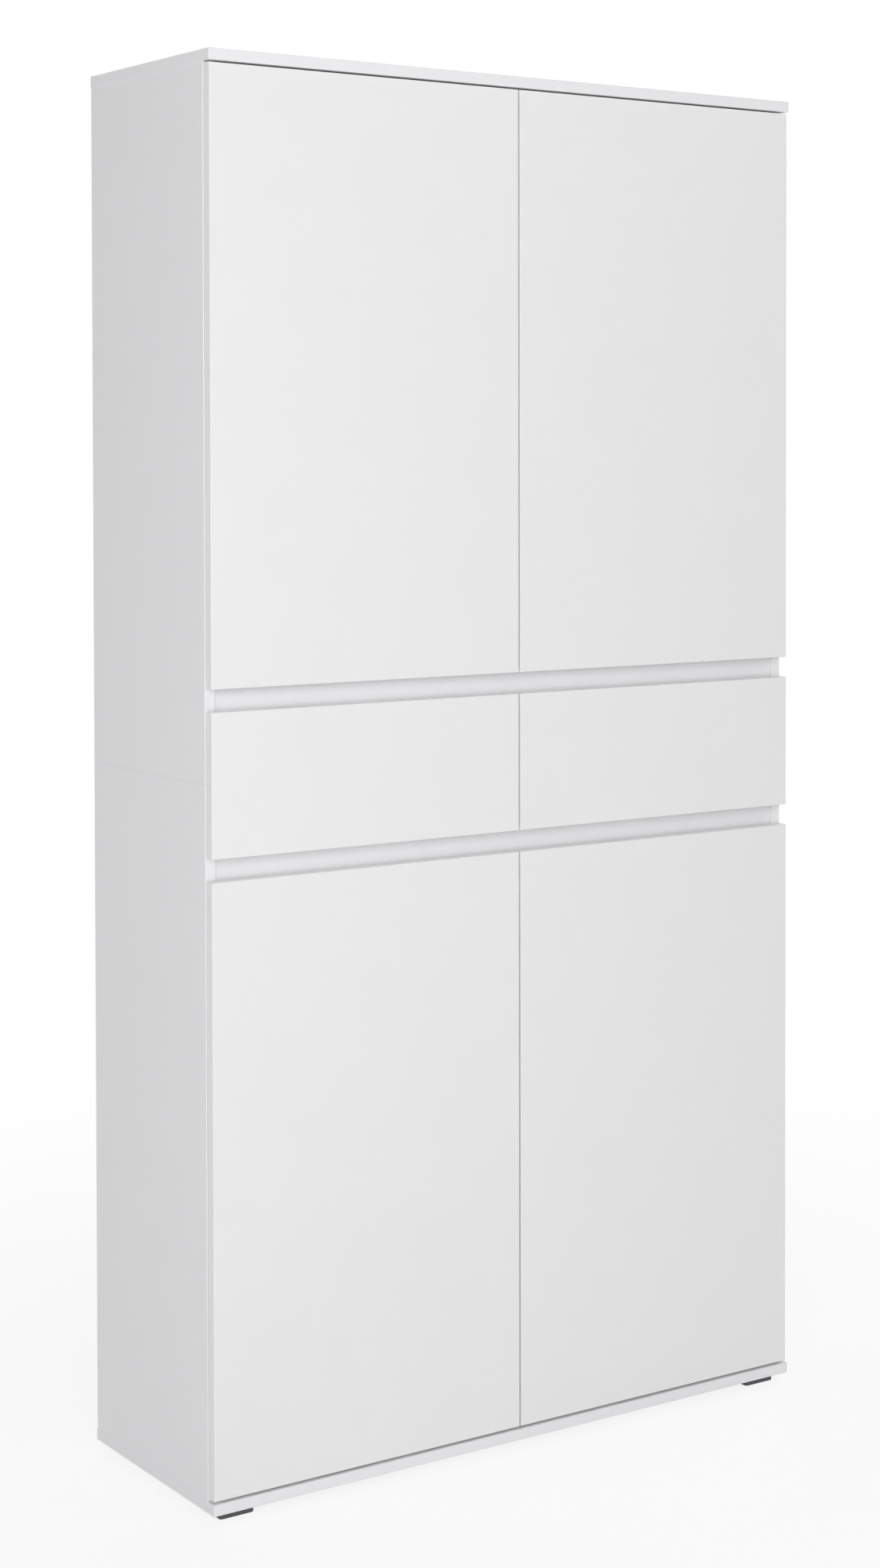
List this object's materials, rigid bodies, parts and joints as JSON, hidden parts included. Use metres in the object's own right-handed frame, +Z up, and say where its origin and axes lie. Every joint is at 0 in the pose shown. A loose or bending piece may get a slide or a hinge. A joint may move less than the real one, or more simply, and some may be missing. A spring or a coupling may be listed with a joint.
{
  "type": "office cupboard",
  "caption": "Tall closed office cupboard with hinged doors above and below side-by-side drawers and recessed grip rails in place of handles.",
  "frame": {"origin": "on the floor, at the middle of the cupboard's width and depth", "axes": "+X to the right seen from the front, -Y to the front where the doors open, +Z up"},
  "size_m": [0.95, 0.35, 1.9],
  "materials": {
    "board_white": "white melamine-faced particle board",
    "front_white": "white melamine-faced particle board, fine pearl texture",
    "back_board": "white-lacquered hardboard, brown behind",
    "drawer_board": "white foil-wrapped board",
    "white_plastic": "matt",
    "foot_plastic": "dark grey, matt",
    "nickel_steel": "nickel-plated steel",
    "zinc": "zinc die casting and zinc-plated steel",
    "runner_steel": "white epoxy-coated sheet steel"
  },
  "bodies": {
    "carcass": {"top_panel": "board_white", "bottom_panel": "board_white", "left_side_lower": "board_white", "left_side_upper": "board_white", "right_side_lower": "board_white", "right_side_upper": "board_white", "lower_partition": "board_white", "drawer_partition": "board_white", "upper_partition": "board_white", "lower_fixed_shelf": "board_white", "upper_fixed_shelf": "board_white", "lower_grip_rail": "board_white", "upper_grip_rail": "board_white", "left_lower_shelves": "board_white", "left_upper_shelves": "board_white", "right_lower_shelves": "board_white", "right_upper_shelves": "board_white", "lower_back_panel": "back_board", "upper_back_panel": "back_board", "back_joint_strip": "white_plastic", "feet": "foot_plastic", "shelf_pins": "zinc", "seam_plates": "zinc", "wall_brackets": "zinc", "hinge_arms": "nickel_steel", "hinge_plates": "nickel_steel", "cabinet_runners": "runner_steel"},
    "left_lower_door": {"left_lower_door": "front_white", "left_lower_door_hinge_cups": "nickel_steel"},
    "left_lower_door_hinge_links": {"left_lower_door_hinge_links": "nickel_steel"},
    "left_upper_door": {"left_upper_door": "front_white", "left_upper_door_hinge_cups": "nickel_steel"},
    "left_upper_door_hinge_links": {"left_upper_door_hinge_links": "nickel_steel"},
    "right_lower_door": {"right_lower_door": "front_white", "right_lower_door_hinge_cups": "nickel_steel"},
    "right_lower_door_hinge_links": {"right_lower_door_hinge_links": "nickel_steel"},
    "right_upper_door": {"right_upper_door": "front_white", "right_upper_door_hinge_cups": "nickel_steel"},
    "right_upper_door_hinge_links": {"right_upper_door_hinge_links": "nickel_steel"},
    "left_drawer": {"left_drawer_front": "front_white", "left_drawer_sides": "drawer_board", "left_drawer_back": "drawer_board", "left_drawer_bottom": "back_board", "left_drawer_runners": "runner_steel"},
    "left_drawer_front_rollers": {"left_drawer_front_rollers": "white_plastic"},
    "left_drawer_rear_rollers": {"left_drawer_rear_rollers": "white_plastic"},
    "right_drawer": {"right_drawer_front": "front_white", "right_drawer_sides": "drawer_board", "right_drawer_back": "drawer_board", "right_drawer_bottom": "back_board", "right_drawer_runners": "runner_steel"},
    "right_drawer_front_rollers": {"right_drawer_front_rollers": "white_plastic"},
    "right_drawer_rear_rollers": {"right_drawer_rear_rollers": "white_plastic"}
  },
  "joints": [
    {"name": "left_lower_door_links_turn", "type": "hinge", "parent": "carcass", "child": "left_lower_door_hinge_links", "pos_m": [-0.4422, -0.1521, 0.03], "axis": [0, 0, 1], "range_deg": [0, 63]},
    {"name": "left_lower_door_swing", "type": "hinge", "parent": "left_lower_door_hinge_links", "child": "left_lower_door", "pos_m": [-0.4622, -0.1621, 0.03], "axis": [0, 0, -1], "range_deg": [0, 168]},
    {"name": "left_upper_door_links_turn", "type": "hinge", "parent": "carcass", "child": "left_upper_door_hinge_links", "pos_m": [-0.4422, -0.1521, 1.0805], "axis": [0, 0, 1], "range_deg": [0, 63]},
    {"name": "left_upper_door_swing", "type": "hinge", "parent": "left_upper_door_hinge_links", "child": "left_upper_door", "pos_m": [-0.4622, -0.1621, 1.0805], "axis": [0, 0, -1], "range_deg": [0, 168]},
    {"name": "right_lower_door_links_turn", "type": "hinge", "parent": "carcass", "child": "right_lower_door_hinge_links", "pos_m": [0.4422, -0.1521, 0.03], "axis": [0, 0, -1], "range_deg": [0, 63]},
    {"name": "right_lower_door_swing", "type": "hinge", "parent": "right_lower_door_hinge_links", "child": "right_lower_door", "pos_m": [0.4622, -0.1621, 0.03], "axis": [0, 0, 1], "range_deg": [0, 168]},
    {"name": "right_upper_door_links_turn", "type": "hinge", "parent": "carcass", "child": "right_upper_door_hinge_links", "pos_m": [0.4422, -0.1521, 1.0805], "axis": [0, 0, -1], "range_deg": [0, 63]},
    {"name": "right_upper_door_swing", "type": "hinge", "parent": "right_upper_door_hinge_links", "child": "right_upper_door", "pos_m": [0.4622, -0.1621, 1.0805], "axis": [0, 0, 1], "range_deg": [0, 168]},
    {"name": "left_drawer_slide", "type": "slide", "parent": "carcass", "child": "left_drawer", "axis": [0, -1, 0], "range_m": [0, 0.2306]},
    {"name": "left_drawer_front_rollers_turn", "type": "hinge", "parent": "carcass", "child": "left_drawer_front_rollers", "pos_m": [-0.23335, -0.1361, 0.9045], "axis": [1, 0, 0], "range_deg": [0, 1470]},
    {"name": "left_drawer_rear_rollers_turn", "type": "hinge", "parent": "left_drawer", "child": "left_drawer_rear_rollers", "pos_m": [-0.23335, 0.129, 0.9026], "axis": [1, 0, 0], "range_deg": [0, 1470]},
    {"name": "right_drawer_slide", "type": "slide", "parent": "carcass", "child": "right_drawer", "axis": [0, -1, 0], "range_m": [0, 0.2306]},
    {"name": "right_drawer_front_rollers_turn", "type": "hinge", "parent": "carcass", "child": "right_drawer_front_rollers", "pos_m": [0.23335, -0.1361, 0.9045], "axis": [1, 0, 0], "range_deg": [0, 1470]},
    {"name": "right_drawer_rear_rollers_turn", "type": "hinge", "parent": "right_drawer", "child": "right_drawer_rear_rollers", "pos_m": [0.23335, 0.129, 0.9026], "axis": [1, 0, 0], "range_deg": [0, 1470]}
  ],
  "couplings": [
    {"joint": "left_lower_door_links_turn", "follows": "left_lower_door_swing", "ratio": 0.375},
    {"joint": "left_upper_door_links_turn", "follows": "left_upper_door_swing", "ratio": 0.375},
    {"joint": "right_lower_door_links_turn", "follows": "right_lower_door_swing", "ratio": 0.375},
    {"joint": "right_upper_door_links_turn", "follows": "right_upper_door_swing", "ratio": 0.375},
    {"joint": "left_drawer_front_rollers_turn", "follows": "left_drawer_slide", "rad_per_m": 111.11},
    {"joint": "left_drawer_rear_rollers_turn", "follows": "left_drawer_slide", "rad_per_m": 111.11},
    {"joint": "right_drawer_front_rollers_turn", "follows": "right_drawer_slide", "rad_per_m": 111.11},
    {"joint": "right_drawer_rear_rollers_turn", "follows": "right_drawer_slide", "rad_per_m": 111.11}
  ]
}
